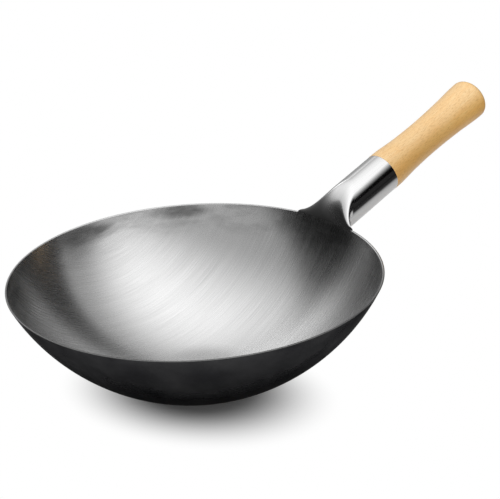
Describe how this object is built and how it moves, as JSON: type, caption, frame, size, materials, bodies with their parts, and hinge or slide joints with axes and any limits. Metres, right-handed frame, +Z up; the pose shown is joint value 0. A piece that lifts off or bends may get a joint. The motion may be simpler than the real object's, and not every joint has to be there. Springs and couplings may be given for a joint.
{
  "type": "carbon steel wok",
  "caption": "Round-walled carbon steel wok with a small flat base and a rolled steel socket that holds a long turned wooden handle.",
  "frame": {"origin": "middle of the flat base, on the surface that the wok stands on", "axes": "+Z up out of the bowl, +X along the handle away from the bowl"},
  "size_m": [0.5299, 0.3196, 0.1865],
  "materials": {
    "bowl_steel": "satin ground inside, dark outside",
    "socket_steel": "polished",
    "weld_steel": "as welded, brushed",
    "beech": "turned, sanded and clear lacquered",
    "screw_steel": "zinc plated"
  },
  "bodies": {
    "root": {"bowl": "bowl_steel", "handle_socket": "socket_steel", "socket_weld_bead": "weld_steel", "wooden_handle": "beech", "handle_screw": "screw_steel"}
  },
  "joints": []
}
